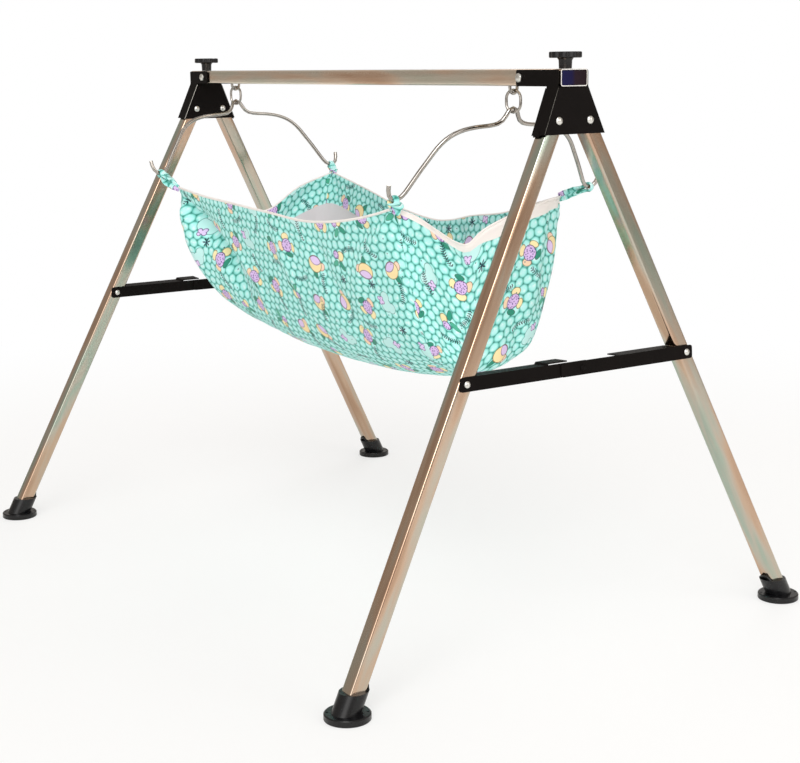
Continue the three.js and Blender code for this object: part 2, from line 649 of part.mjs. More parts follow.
// Legs and braces lean outward at each end; the brace is on the +X face of both A-frames
for (const [end, sign] of [['right', 1], ['left', -1]]) {
  const frame = new THREE.Group();
  frame.position.set(sign * LEG_X, 0, PIVOT_Z);
  frame.rotation.y = -sign * SPLAY;
  cradle.add(frame);
  for (const [name, side] of [['front', -1], ['back', 1]]) {
    const hip = new THREE.Group();
    hip.position.set(0, side * PIVOT_Y, 0);
    hip.rotation.x = side * SPREAD;
    frame.add(hip);
    add(`leg_${name}_${end}`, leg(), STEEL, hip);
    const joint = new THREE.Group();
    joint.position.set(0, side * BRACE_REACH, -BRACE_DROP);
    frame.add(joint);
    const inner = side < 0;
    const plate = inner ? TUBE / 2 + 0.6 : TUBE / 2 + 2.9;
    const half = inner
      ? braceHalf(plate, BRACE_REACH, BRACE_END, BRACE_REACH - 66, 3.4)
      : braceHalf(plate, BRACE_REACH, BRACE_LAP, BRACE_REACH - 74, 0);
    if (!inner) half.scale(1, -1, 1);
    if (!inner) half.index.array.reverse();
    add(`brace_${name}_${end}`, half, BLACK_COAT, joint);
    add(`brace_rivet_${name}_${end}`, braceRivet(plate), ZINC, joint);
    if (!inner) {
      const middle = add(`brace_middle_rivet_${end}`, middleRivet(plate), ZINC, joint);
      middle.position.y = -BRACE_REACH;
    }
  }
  const hook = new THREE.Group();
  hook.position.set(sign * HOOK_X, 0, 0);
  cradle.add(hook);
  add(`eye_${end}`, eye(), STEEL, hook);
  add(`link_${end}`, link(), STEEL, hook);
  const rodShape = hanger();
  if (sign < 0) rodShape.rotateZ(Math.PI);
  add(`hanger_${end}`, rodShape, STEEL, hook);
}

add('hammock', hammock(), PRINT);
const hookX = HOOK_X - 131.3 * Math.tan(LEAN);
const corners = [
  ['front_right', 1, -1, RIM.front[RIM.front.length - 1]],
  ['back_right', 1, 1, RIM.back[0]],
  ['back_left', -1, 1, RIM.left[0]],
  ['front_left', -1, -1, RIM.front[0]],
];
for (const [name, sx, sy, corner] of corners) {
  const hook = new THREE.Vector3(sx * hookX, sy * 190.5, PEAK_Z - 131.3);
  add(`strap_${name}`, strap(hook, new THREE.Vector3(...corner)), PRINT);
}

export default cradle;
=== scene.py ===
# Hanging baby cradle: a printed cotton hammock on two bent wire hangers, hooked by oblong
# links under a flat steel bar that two splayed, folding A-frames of square tube carry.
import json
import math

import bmesh
import bpy
import numpy as np
from mathutils import Matrix, Vector, noise

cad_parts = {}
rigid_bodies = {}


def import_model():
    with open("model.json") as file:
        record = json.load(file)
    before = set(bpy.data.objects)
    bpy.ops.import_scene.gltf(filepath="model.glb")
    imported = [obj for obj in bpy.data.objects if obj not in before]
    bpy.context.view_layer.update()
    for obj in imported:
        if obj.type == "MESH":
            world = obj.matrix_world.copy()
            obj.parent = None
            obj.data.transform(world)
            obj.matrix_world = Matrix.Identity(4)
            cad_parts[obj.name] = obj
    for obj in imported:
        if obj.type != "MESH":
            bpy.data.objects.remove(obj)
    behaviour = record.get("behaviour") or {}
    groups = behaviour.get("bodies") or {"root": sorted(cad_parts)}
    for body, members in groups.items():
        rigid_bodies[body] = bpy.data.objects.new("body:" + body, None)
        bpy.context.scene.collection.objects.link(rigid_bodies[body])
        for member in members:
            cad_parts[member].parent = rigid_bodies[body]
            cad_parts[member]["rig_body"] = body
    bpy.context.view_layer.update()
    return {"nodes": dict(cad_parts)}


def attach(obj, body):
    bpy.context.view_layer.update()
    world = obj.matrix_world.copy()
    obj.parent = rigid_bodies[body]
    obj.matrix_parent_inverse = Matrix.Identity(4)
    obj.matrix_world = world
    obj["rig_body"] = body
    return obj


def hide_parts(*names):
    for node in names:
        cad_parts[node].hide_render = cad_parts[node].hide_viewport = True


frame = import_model()
bpy.ops.object.select_all(action="DESELECT")

# Camera: a long lens a little above the bar, off the front right corner of the stand,
# looking down along the cradle. Its place was matched to the feet, legs and bar ends.
camera_place = Vector((2.3572, -1.5089, 0.8877))
camera_turn = math.radians(55.94)
camera_dip = math.radians(11.41)
camera_roll = math.radians(-0.661)
picture_width = 800
focal_length_in_pixels = 1576
ahead = Vector((-math.sin(camera_turn) * math.cos(camera_dip),
                math.cos(camera_turn) * math.cos(camera_dip), -math.sin(camera_dip)))
level = Vector((math.cos(camera_turn), math.sin(camera_turn), 0))
upward = level.cross(ahead)
side = level * math.cos(camera_roll) + upward * math.sin(camera_roll)
over = upward * math.cos(camera_roll) - level * math.sin(camera_roll)
lens = bpy.data.cameras.new("camera")
lens.sensor_width = 36
lens.lens = 36 * focal_length_in_pixels / picture_width
camera = bpy.data.objects.new("camera", lens)
bpy.context.collection.objects.link(camera)
camera.matrix_world = Matrix((
    (side.x, over.x, -ahead.x, camera_place.x),
    (side.y, over.y, -ahead.y, camera_place.y),
    (side.z, over.z, -ahead.z, camera_place.z),
    (0, 0, 0, 1)))
bpy.context.scene.camera = camera
bpy.context.scene.view_settings.view_transform = "Standard"


# Studio: a pale floor that runs into a white surround, under three soft lamps. The surround
# has a tall bright wall off the front corner and a dim one opposite, which the steel mirrors.
def linear(code):
    channels = [int(code[i:i + 2], 16) / 255 for i in (1, 3, 5)]
    return [c / 12.92 if c <= 0.04045 else ((c + 0.055) / 1.055) ** 2.4 for c in channels] + [1]


def add_node(tree, kind, links=None, **settings):
    node = tree.nodes.new(kind)
    for name, value in settings.items():
        setattr(node, name, value)
    for socket, value in (links or {}).items():
        if isinstance(value, bpy.types.NodeSocket):
            tree.links.new(value, node.inputs[socket])
        else:
            node.inputs[socket].default_value = value
    return node


def ramp(tree, factor, stops):
    node = add_node(tree, "ShaderNodeValToRGB", {"Fac": factor})
    while len(node.color_ramp.elements) < len(stops):
        node.color_ramp.elements.new(0.5)
    for element, (place, colour) in zip(node.color_ramp.elements, stops):
        element.position = place
        element.color = linear(colour)
    return node.outputs["Color"]


surround = bpy.data.worlds.new("white_surround")
bpy.context.scene.world = surround
surround.use_nodes = True
tree = surround.node_tree
tree.nodes.clear()
direction = add_node(tree, "ShaderNodeTexCoord").outputs["Generated"]
split = add_node(tree, "ShaderNodeSeparateXYZ", {0: direction}).outputs
height = add_node(tree, "ShaderNodeMapRange", {
    "Value": split["Z"], "From Min": -1.0, "From Max": 1.0}).outputs["Result"]
# how far round the horizon a direction lies: 0 and 1 are both towards -X, 0.5 is +X
round_about = add_node(tree, "ShaderNodeMath", {0: split["Y"], 1: split["X"]},
                       operation="ARCTAN2").outputs[0]
round_about = add_node(tree, "ShaderNodeMapRange", {
    "Value": round_about, "From Min": -math.pi, "From Max": math.pi}).outputs["Result"]
walls = ramp(tree, round_about, [
    (0.0, "#c6c0ba"), (0.06, "#b9b3ac"), (0.2, "#bcb5ae"), (0.29, "#dddad7"), (0.33, "#ffffff"),
    (0.4, "#ffffff"), (0.45, "#c9c4bf"), (0.53, "#c2bab1"), (0.68, "#cbc3ba"),
    (0.8, "#bdbab6"), (1.0, "#c6c0ba")])
sky = ramp(tree, height, [(0.0, "#8f8a84"), (0.42, "#9b958e"), (0.5, "#e2e0dd"),
                          (0.75, "#ffffff"), (1.0, "#ffffff")])
glow = add_node(tree, "ShaderNodeMix", {"Factor": 1.0, 6: walls, 7: sky},
                data_type="RGBA", blend_type="MULTIPLY").outputs[2]
bright_wall = ramp(tree, round_about, [(0.3, "#000000"), (0.345, "#ffffff"), (0.385, "#ffffff"),
                                       (0.43, "#000000")])
glow = add_node(tree, "ShaderNodeVectorMath", {0: bright_wall, 1: (1.6, 1.55, 1.5), 2: glow},
                operation="MULTIPLY_ADD").outputs[0]
# the camera itself sees plain white behind the floor
seen = add_node(tree, "ShaderNodeLightPath").outputs["Is Camera Ray"]
lamp_part = add_node(tree, "ShaderNodeBackground", {"Color": glow, "Strength": 0.95})
seen_part = add_node(tree, "ShaderNodeBackground", {"Color": (1, 1, 1, 1), "Strength": 1.0})
both = add_node(tree, "ShaderNodeMixShader", {
    0: seen, 1: lamp_part.outputs[0], 2: seen_part.outputs[0]})
add_node(tree, "ShaderNodeOutputWorld", {"Surface": both.outputs[0]})

bpy.ops.mesh.primitive_circle_add(vertices=64, radius=30, fill_type="NGON",
                                  location=(0, 0, -0.0005))
floor = bpy.context.object
floor.name = "floor"
floor_paint = bpy.data.materials.new("pale_floor")
floor_paint.use_nodes = True
tree = floor_paint.node_tree
tree.nodes.clear()
place = add_node(tree, "ShaderNodeTexCoord").outputs["Object"]
# the floor keeps its soft shadows near the stand and fades into the surround further out
far = add_node(tree, "ShaderNodeVectorMath", {0: place}, operation="LENGTH").outputs["Value"]
fade = add_node(tree, "ShaderNodeMapRange", {
    "Value": far, "From Min": 0.9, "From Max": 2.6}, interpolation_type="SMOOTHSTEP")
seen = add_node(tree, "ShaderNodeLightPath").outputs["Is Camera Ray"]
lift = add_node(tree, "ShaderNodeMapRange", {
    "Value": fade.outputs["Result"], "To Min": 0.62}).outputs["Result"]
gate = add_node(tree, "ShaderNodeMath", {0: seen, 1: lift}, operation="MULTIPLY").outputs[0]
matt = add_node(tree, "ShaderNodeBsdfDiffuse", {"Color": linear("#f7f7f6")})
bright = add_node(tree, "ShaderNodeEmission", {"Color": (1, 1, 1, 1), "Strength": 1.0})
mixed = add_node(tree, "ShaderNodeMixShader", {
    0: gate, 1: matt.outputs[0], 2: bright.outputs[0]})
add_node(tree, "ShaderNodeOutputMaterial", {"Surface": mixed.outputs[0]})
floor.data.materials.append(floor_paint)

for name, spot, size, watts in [
        ("key", (3.0, -2.3, 3.2), 2.4, 70), ("fill", (4.2, 1.4, 2.2), 2.6, 36),
        ("back", (-2.6, 2.6, 3.4), 2.4, 40)]:
    lamp = bpy.data.lights.new(name + "_lamp", "AREA")
    lamp.size = size
    lamp.energy = watts
    lamp_object = bpy.data.objects.new(name + "_lamp", lamp)
    bpy.context.collection.objects.link(lamp_object)
    lamp_object.location = spot
    aim = Vector((0, 0, 0.55)) - Vector(spot)
    lamp_object.rotation_euler = aim.to_track_quat("-Z", "Y").to_euler()


# Top bar and legs: stainless steel tube, 50 x 25 flat for the bar and 25 square for the
# legs, drawn and belt polished along its length. The cut ends are broken by hand.
def steel(name, turn, brown="#bd9c83", warm="#cbaf98", cool="#c1baac", green="#acb8aa"):
    # Polished stainless steel: the belt leaves hairlines about 0.15 mm apart along the tube,
    # drawn here 1 mm apart so that they show, and a warm grey mirror between them.
    metal = bpy.data.materials.new(name)
    metal.use_nodes = True
    tree = metal.node_tree
    shader = tree.nodes["Principled BSDF"]
    place = add_node(tree, "ShaderNodeTexCoord").outputs["Object"]
    turned = add_node(tree, "ShaderNodeMapping", {"Vector": place, "Rotation": turn}).outputs[0]
    drawn = add_node(tree, "ShaderNodeMapping", {"Vector": turned, "Scale": (1, 1, 0.012)})
    lines = add_node(tree, "ShaderNodeTexNoise", {
        "Vector": drawn.outputs[0], "Scale": 900, "Detail": 3, "Roughness": 0.6})
    # heat tint and handling leave faint brown and green patches, a hand's length along the tube
    tint_and_reflection_place = add_node(tree, "ShaderNodeMapping", {"Vector": turned, "Scale": (1, 1, 0.13)})
    tint_and_painted_reflection = add_node(tree, "ShaderNodeTexNoise", {
        "Vector": tint_and_reflection_place.outputs[0], "Scale": 34, "Detail": 2, "Roughness": 0.5})
    # the patches are partly painted reflection: the green stands for the cloth mirrored in the
    # steel, the brown for darker surroundings
    shade = ramp(tree, tint_and_painted_reflection.outputs[0], [
        (0.32, brown), (0.44, warm), (0.55, cool), (0.66, green), (0.74, cool)])
    tree.links.new(shade, shader.inputs["Base Color"])
    dull = add_node(tree, "ShaderNodeMapRange", {
        "Value": lines.outputs[0], "To Min": 0.14, "To Max": 0.18})
    tree.links.new(dull.outputs["Result"], shader.inputs["Roughness"])
    rise = add_node(tree, "ShaderNodeBump", {
        "Height": lines.outputs[0], "Strength": 0.006, "Distance": 0.0002})
    tree.links.new(rise.outputs[0], shader.inputs["Normal"])
    shader.inputs["Metallic"].default_value = 1
    return metal


nearly_flat = math.radians(1.5)
sharp_angle = math.radians(40)


def finish_solid(node, finish, edge=0.0004, smooth=35, shortest=0):
    # copies the solid, joins its loose faces, rounds the sharp edges that are longer than the
    # shortest one given, by the width in edge, and shades it
    source = frame["nodes"][node]
    body = source["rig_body"]
    shape = bmesh.new()
    shape.from_mesh(source.data)
    bmesh.ops.remove_doubles(shape, verts=shape.verts, dist=0.00002)
    bmesh.ops.dissolve_limit(shape, angle_limit=nearly_flat, verts=shape.verts,
                             edges=shape.edges)
    broken = shape.edges.layers.float.new("bevel_weight_edge")
    for line in shape.edges:
        sharp = line.calc_face_angle(0) > sharp_angle
        line[broken] = 1.0 if sharp and line.calc_length() > shortest else 0.0
    mesh = bpy.data.meshes.new(node + "_finished")
    shape.to_mesh(mesh)
    shape.free()
    piece = bpy.data.objects.new(node + "_finished", mesh)
    bpy.context.collection.objects.link(piece)
    mesh.materials.append(finish)
    bpy.context.view_layer.objects.active = piece
    piece.select_set(True)
    if edge:
        rounding = piece.modifiers.new("edge", "BEVEL")
        rounding.width = edge
        rounding.segments = 2
        rounding.limit_method = "WEIGHT"
        rounding.use_clamp_overlap = shortest == 0
        bpy.ops.object.modifier_apply(modifier="edge")
    bpy.ops.object.shade_smooth_by_angle(angle=math.radians(smooth))
    if edge:
        piece.modifiers.new("flats", "WEIGHTED_NORMAL").keep_sharp = True
        bpy.ops.object.modifier_apply(modifier="flats")
    piece.select_set(False)
    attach(piece, body)
    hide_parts(node)
    return piece


splay = math.radians(3.5)
spread = math.radians(26.7)
# the bar gets the legs' steel in lighter colours, painted light for the brighter light that the
# bar catches
bar_finish = steel("polished_steel_bar_painted_lighter", (0, math.radians(90), 0), "#deb99d", "#f0d6bf",
                   "#e6dccc", "#dcdac9")
bar = finish_solid("top_bar", bar_finish, 0.0002)
# the saw leaves the cut ends pale and fine grained; they are painted near white, a painted
# highlight, so they stay bright all round the plug
cut_end_painted_highlight = bpy.data.materials.new("sawn_steel_end_painted_highlight")
cut_end_painted_highlight.use_nodes = True
shader = cut_end_painted_highlight.node_tree.nodes["Principled BSDF"]
shader.inputs["Base Color"].default_value = linear("#f2f1ef")
shader.inputs["Roughness"].default_value = 0.42
shader.inputs["Metallic"].default_value = 0.7
bar.data.materials.append(cut_end_painted_highlight)
for face in bar.data.polygons:
    if abs(face.normal.x) > 0.6:
        face.material_index = 1
for end, way in (("right", 1), ("left", -1)):
    for half, out in (("front", -1), ("back", 1)):
        finish = steel(f"polished_steel_leg_{half}_{end}", (-out * spread, way * splay, 0))
        finish_solid(f"leg_{half}_{end}", finish, 0.0002)

# Brackets: each is a folded shell of 2.2 mm steel sheet that wraps the bar and holds the
# legs, with an inner plate between its flanges. Both are black with a satin powder coat.
coat = bpy.data.materials.new("black_powder_coat")
coat.use_nodes = True
tree = coat.node_tree
shader = tree.nodes["Principled BSDF"]
place = add_node(tree, "ShaderNodeTexCoord").outputs["Object"]
# baked powder flows into a fine orange peel, about 1 mm from crest to crest
peel = add_node(tree, "ShaderNodeTexNoise", {"Vector": place, "Scale": 900, "Detail": 2})
dust = add_node(tree, "ShaderNodeTexNoise", {"Vector": place, "Scale": 22, "Detail": 5})
tone = add_node(tree, "ShaderNodeMix", {
    "Factor": dust.outputs[0], 6: linear("#0b0908"), 7: linear("#151110")}, data_type="RGBA")
tree.links.new(tone.outputs[2], shader.inputs["Base Color"])
sheen = add_node(tree, "ShaderNodeMapRange", {
    "Value": dust.outputs[0], "To Min": 0.46, "To Max": 0.6})
tree.links.new(sheen.outputs["Result"], shader.inputs["Roughness"])
rise = add_node(tree, "ShaderNodeBump", {
    "Height": peel.outputs[0], "Strength": 0.12, "Distance": 0.0003})
tree.links.new(rise.outputs[0], shader.inputs["Normal"])
shader.inputs["Specular IOR Level"].default_value = 0.06
# along the shell's front folds a pale glossy line 2 mm wide is painted on as a painted highlight
fold_highlight_coat = bpy.data.materials.new("painted_highlight_powder_coat")
fold_highlight_coat.use_nodes = True
shader = fold_highlight_coat.node_tree.nodes["Principled BSDF"]
shader.inputs["Base Color"].default_value = linear("#77746f")
shader.inputs["Roughness"].default_value = 0.24
shader.inputs["Metallic"].default_value = 0.85
for end in ("right", "left"):
    shell = finish_solid(f"bracket_shell_{end}", coat, 0.0013,
                         shortest=0.04)
    shell.data.materials.append(fold_highlight_coat)
    # the painted highlight takes the fold faces turned towards the front right corner, where the
    # camera stands
    for face in shell.data.polygons:
        if face.normal.x > 0.25 and face.normal.y < -0.25 and abs(face.normal.z) < 0.5:
            face.material_index = 1
    finish_solid(f"bracket_plate_{end}", coat, 0.0005)

# Folding braces: two pressed steel halves on each A-frame, riveted to the legs and to each
# other, in the same powder coat. A joggled tongue on one lies over the other and stops it.
for end in ("right", "left"):
    for half in ("front", "back"):
        finish_solid(f"brace_{half}_{end}", coat, 0.0005)

# Pins, bolts, rivets, nuts and screws: cold headed steel with a bright zinc plating that
# has gone slightly dull and cloudy where it was handled.
zinc = bpy.data.materials.new("bright_zinc")
zinc.use_nodes = True
tree = zinc.node_tree
shader = tree.nodes["Principled BSDF"]
place = add_node(tree, "ShaderNodeTexCoord").outputs["Object"]
cloud = add_node(tree, "ShaderNodeTexNoise", {"Vector": place, "Scale": 160, "Detail": 4})
tone = add_node(tree, "ShaderNodeMix", {
    "Factor": cloud.outputs[0], 6: linear("#cfcfca"), 7: linear("#efeee9")}, data_type="RGBA")
tree.links.new(tone.outputs[2], shader.inputs["Base Color"])
sheen = add_node(tree, "ShaderNodeMapRange", {
    "Value": cloud.outputs[0], "To Min": 0.22, "To Max": 0.38})
tree.links.new(sheen.outputs["Result"], shader.inputs["Roughness"])
shader.inputs["Metallic"].default_value = 1
for end in ("right", "left"):
    for half in ("front", "back"):
        finish_solid(f"leg_pin_{half}_{end}", zinc, 0.0003, 50)
        finish_solid(f"arm_bolt_{half}_{end}", zinc, 0.0003, 50)
        finish_solid(f"brace_rivet_{half}_{end}", zinc, 0.0003, 50)
    # the middle rivet is coated along with the brace
    finish_solid(f"brace_middle_rivet_{end}", coat, 0.0003, 50)
    finish_solid(f"clamp_nut_{end}", zinc, 0.0006)
    finish_solid(f"knob_screw_{end}", zinc, 0.0003, 50)

# Knobs, feet and bar plugs: injection moulded black nylon with a fine spark eroded grain.
nylon = bpy.data.materials.new("moulded_black_nylon")
nylon.use_nodes = True
tree = nylon.node_tree
shader = tree.nodes["Principled BSDF"]
place = add_node(tree, "ShaderNodeTexCoord").outputs["Object"]
grain = add_node(tree, "ShaderNodeTexVoronoi", {"Vector": place, "Scale": 1400})
flow = add_node(tree, "ShaderNodeTexNoise", {"Vector": place, "Scale": 30, "Detail": 4})
tone = add_node(tree, "ShaderNodeMix", {
    "Factor": flow.outputs[0], 6: linear("#08080a"), 7: linear("#121215")}, data_type="RGBA")
tree.links.new(tone.outputs[2], shader.inputs["Base Color"])
sheen = add_node(tree, "ShaderNodeMapRange", {
    "Value": flow.outputs[0], "To Min": 0.2, "To Max": 0.34})
tree.links.new(sheen.outputs["Result"], shader.inputs["Roughness"])
rise = add_node(tree, "ShaderNodeBump", {
    "Height": grain.outputs["Distance"], "Strength": 0.1, "Distance": 0.0002})
tree.links.new(rise.outputs[0], shader.inputs["Normal"])
shader.inputs["Specular IOR Level"].default_value = 0.42
# the bar plugs are glossy dark nylon with a painted reflection, smoky blue on one half and plum on
# the other
plug_painted_reflection = bpy.data.materials.new("glossy_nylon_painted_reflection")
plug_painted_reflection.use_nodes = True
tree = plug_painted_reflection.node_tree
shader = tree.nodes["Principled BSDF"]
place = add_node(tree, "ShaderNodeTexCoord").outputs["Object"]
reflection_side = add_node(tree, "ShaderNodeSeparateXYZ", {0: place}).outputs["Y"]
shade = ramp(tree, add_node(tree, "ShaderNodeMapRange", {
    "Value": reflection_side, "From Min": -0.025, "From Max": 0.025}).outputs["Result"],
    [(0.0, "#151540"), (0.42, "#15123a"), (0.55, "#22141f"), (1.0, "#1c1016")])
tree.links.new(shade, shader.inputs["Base Color"])
shader.inputs["Roughness"].default_value = 0.16
shader.inputs["Specular IOR Level"].default_value = 0.2
for end in ("right", "left"):
    finish_solid(f"knob_{end}", nylon, 0.0006)
    finish_solid(f"bar_plug_{end}", plug_painted_reflection, 0.0005)
    for half in ("front", "back"):
        finish_solid(f"foot_{half}_{end}", nylon, 0.0007)

# Eyes, links and hangers: bent steel wire, nickel plated bright. The hanger is one 7 mm
# rod with a peak in the middle and an upturned hook at each end.
plate = bpy.data.materials.new("bright_nickel_wire")
plate.use_nodes = True
tree = plate.node_tree
shader = tree.nodes["Principled BSDF"]
place = add_node(tree, "ShaderNodeTexCoord").outputs["Object"]
stain = add_node(tree, "ShaderNodeTexNoise", {"Vector": place, "Scale": 45, "Detail": 5})
tone = add_node(tree, "ShaderNodeMix", {
    "Factor": stain.outputs[0], 6: linear("#938e88"), 7: linear("#cbc6c0")}, data_type="RGBA")
tree.links.new(tone.outputs[2], shader.inputs["Base Color"])
sheen = add_node(tree, "ShaderNodeMapRange", {
    "Value": stain.outputs[0], "To Min": 0.07, "To Max": 0.16})
tree.links.new(sheen.outputs["Result"], shader.inputs["Roughness"])
shader.inputs["Metallic"].default_value = 1
for end in ("right", "left"):
    finish_solid(f"eye_{end}", plate, 0, 60)
    finish_solid(f"link_{end}", plate, 0, 60)
    finish_solid(f"hanger_{end}", plate, 0, 60)

# Hammock: one long panel of printed cotton goes down one side, under the baby and up the
# other, and an upright panel is sewn in at each end. It is lined, and hemmed round the top.
rim_lines = {
    "front": [(-352, -180, 664), (-230, -188, 655), (-100, -192, 649), (20, -193, 643),
              (140, -192, 637), (250, -191, 646), (335, -190, 661), (391, -188, 675)],
    "right": [(391, -188, 675), (396, -150, 660), (396, -110, 636), (395, -75, 616),
              (393, -52, 610), (392, -22, 629), (389, 28, 647), (378, 101, 663),
              (350, 175, 670)],
    "back": [(350, 175, 670), (285, 178, 655), (190, 176, 631), (103, 174, 620), (40, 173, 608),
             (-10, 173, 605), (-120, 175, 618), (-220, 180, 640), (-310, 186, 657),
             (-388, 188, 672)],
    "left": [(-388, 188, 672), (-390, 140, 658), (-390, 100, 643), (-388, 66, 622),
             (-386, 34, 606), (-380, -40, 603), (-371, -120, 633), (-352, -180, 664)],
}
# the two end seams, and the lowest line with its tilt and its rise towards both ends
end_left, end_right = -368, 380
low_point, low_tilt, low_rise, half_length = 371, -14, 33, 375
# the floor is part of a round trough, and the walls bow out over a knee above its edge
round_radius = 150
half_floor = round_radius * math.sqrt(0.5)
knee_out, knee_up, knee_up_at_corner, end_bow = 153, 60, 35, 7
across_count, wall_count, floor_count = 132, 52, 40
steps_between_points = 24


def smooth_line(points, count):
    # evenly spaced points on a smooth line through the given ones
    points = [Vector(p) for p in points]
    first = points[0] * 2 - points[1]
    last = points[-1] * 2 - points[-2]
    padded = [first] + points + [last]
    fine = []
    for a, b, c, d in zip(padded, padded[1:], padded[2:], padded[3:]):
        t1 = (b - a).length ** 0.5
        t2 = t1 + (c - b).length ** 0.5
        t3 = t2 + (d - c).length ** 0.5
        for step in range(steps_between_points):
            t = t1 + (t2 - t1) * step / steps_between_points
            ab = a.lerp(b, t / t1)
            bc = b.lerp(c, (t - t1) / (t2 - t1))
            cd = c.lerp(d, (t - t2) / (t3 - t2))
            abc = ab.lerp(bc, t / t2)
            bcd = bc.lerp(cd, (t - t1) / (t3 - t1))
            fine.append(abc.lerp(bcd, (t - t1) / (t2 - t1)))
    fine.append(points[-1])
    lengths = [0]
    for a, b in zip(fine, fine[1:]):
        lengths.append(lengths[-1] + (b - a).length)
    even = []
    at = 0
    for i in range(count + 1):
        want = lengths[-1] * i / count
        while at < len(fine) - 2 and lengths[at + 1] < want:
            at += 1
        span = lengths[at + 1] - lengths[at]
        even.append(fine[at].lerp(fine[at + 1], (want - lengths[at]) / span))
    return even


def low_line(x):
    return low_point + low_tilt * (x / half_length) + low_rise * (x / half_length) ** 2


def trough(x, y):
    return low_line(x) + round_radius - math.sqrt(round_radius ** 2 - y * y)


def wall(x, q, rim):
    # down one wall from the rim: points from the rim to the edge of the rounded floor
    edge = Vector((x, half_floor * q, trough(x, half_floor * q)))
    out = math.copysign(end_bow, x) * (1 - q * q)
    knee = Vector((x + out, knee_out * q, low_line(x) + knee_up + knee_up_at_corner * q * q))
    line = []
    for k in range(wall_count + 1):
        w = k / wall_count
        line.append(rim * (1 - w) ** 2 + knee * 2 * w * (1 - w) + edge * w * w)
    return line


rims = {name: smooth_line(points, across_count if name in ("front", "back") else floor_count)
        for name, points in rim_lines.items()}
rims["back"].reverse()
rims["left"].reverse()
panels = {}
panels["long"] = []
for i in range(across_count + 1):
    x = end_left + (end_right - end_left) * i / across_count
    under = [Vector((x, half_floor * q, trough(x, half_floor * q)))
             for q in [2 * j / floor_count - 1 for j in range(1, floor_count)]]
    panels["long"].append(wall(x, -1, rims["front"][i]) + under
                          + wall(x, 1, rims["back"][i])[::-1])
for name, x in (("right", end_right), ("left", end_left)):
    panels[name] = [wall(x, 2 * j / floor_count - 1, rims[name][j])
                    for j in range(floor_count + 1)]

cloth_shape = bmesh.new()
uv = cloth_shape.loops.layers.uv.new("cut_metres")
hem_layer = cloth_shape.verts.layers.float.new("from_rim_mm")
seam_layer = cloth_shape.verts.layers.float.new("from_seam_mm")
white_layer = cloth_shape.verts.layers.float.new("white_hem_mm")
# the off-white hem's depth across the right end panel, both in millimetres
white_hem = {-188: 5, -150: 9, -75: 10, -40: 14, 0: 24, 40: 27, 80: 20, 140: 18, 175: 16}
for name, lines in panels.items():
    grid = []
    for i, line in enumerate(lines):
        run = [0]
        for a, b in zip(line, line[1:]):
            run.append(run[-1] + (b - a).length)
        column = []
        for j, p in enumerate(line):
            vert = cloth_shape.verts.new(p / 1000)
            vert[white_layer] = 2.5
            if name == "long":
                u, v = p.x, run[j] - run[-1] / 2
                vert[hem_layer] = min(run[j], run[-1] - run[j])
                vert[seam_layer] = min(p.x - end_left, end_right - p.x)
            else:
                u, v = p.y + 620, run[j]
                vert[hem_layer] = run[j]
                vert[seam_layer] = min((1 - abs(2 * i / floor_count - 1)) * 150,
                                       run[-1] - run[j])
                if name == "right":
                    vert[white_layer] = np.interp(line[0].y, list(white_hem),
                                                  list(white_hem.values()))
            vert[seam_layer] = max(vert[seam_layer], 0)
            column.append((vert, (u / 1000, v / 1000)))
        grid.append(column)
    for i in range(len(grid) - 1):
        for j in range(len(grid[0]) - 1):
            corners = [grid[i][j], grid[i + 1][j], grid[i + 1][j + 1], grid[i][j + 1]]
            if name == "left":
                corners.reverse()
            face = cloth_shape.faces.new([c[0] for c in corners])
            for loop in face.loops:
                loop[uv].uv = next(c[1] for c in corners if c[0] is loop.vert)
            face.smooth = True
bmesh.ops.remove_doubles(cloth_shape, verts=cloth_shape.verts, dist=0.0001)
bmesh.ops.recalc_face_normals(cloth_shape, faces=cloth_shape.faces)
cloth_shape.normal_update()
lowest = min(cloth_shape.faces, key=lambda f: f.calc_center_median().z)
if lowest.normal.z > 0:
    bmesh.ops.reverse_faces(cloth_shape, faces=cloth_shape.faces)

# the seams round over as the cloth pulls: each point near one drifts to its neighbours
cloth_shape.verts.index_update()
points = np.array([v.co for v in cloth_shape.verts])
from_rim = np.array([v[hem_layer] for v in cloth_shape.verts])
from_seam = np.array([v[seam_layer] for v in cloth_shape.verts])
edges = np.array([[v.index for v in e.verts] for e in cloth_shape.edges])
near_count = np.bincount(edges.ravel(), minlength=len(points))[:, None]
low_down = np.clip((0.56 - points[:, 2]) / 0.08, 0, 1)
seam_reach = 22 + 26 * low_down
drift = np.exp(-(from_seam / seam_reach) ** 2) * np.clip(from_rim / 45, 0, 1)
drift = (drift * (0.35 + 0.6 * low_down))[:, None]
drift_steps = 90
for step in range(drift_steps):
    total = np.zeros_like(points)
    np.add.at(total, edges[:, 0], points[edges[:, 1]])
    np.add.at(total, edges[:, 1], points[edges[:, 0]])
    points += (total / near_count - points) * drift
for vert, place in zip(cloth_shape.verts, points):
    vert.co = place
cloth_shape.normal_update()

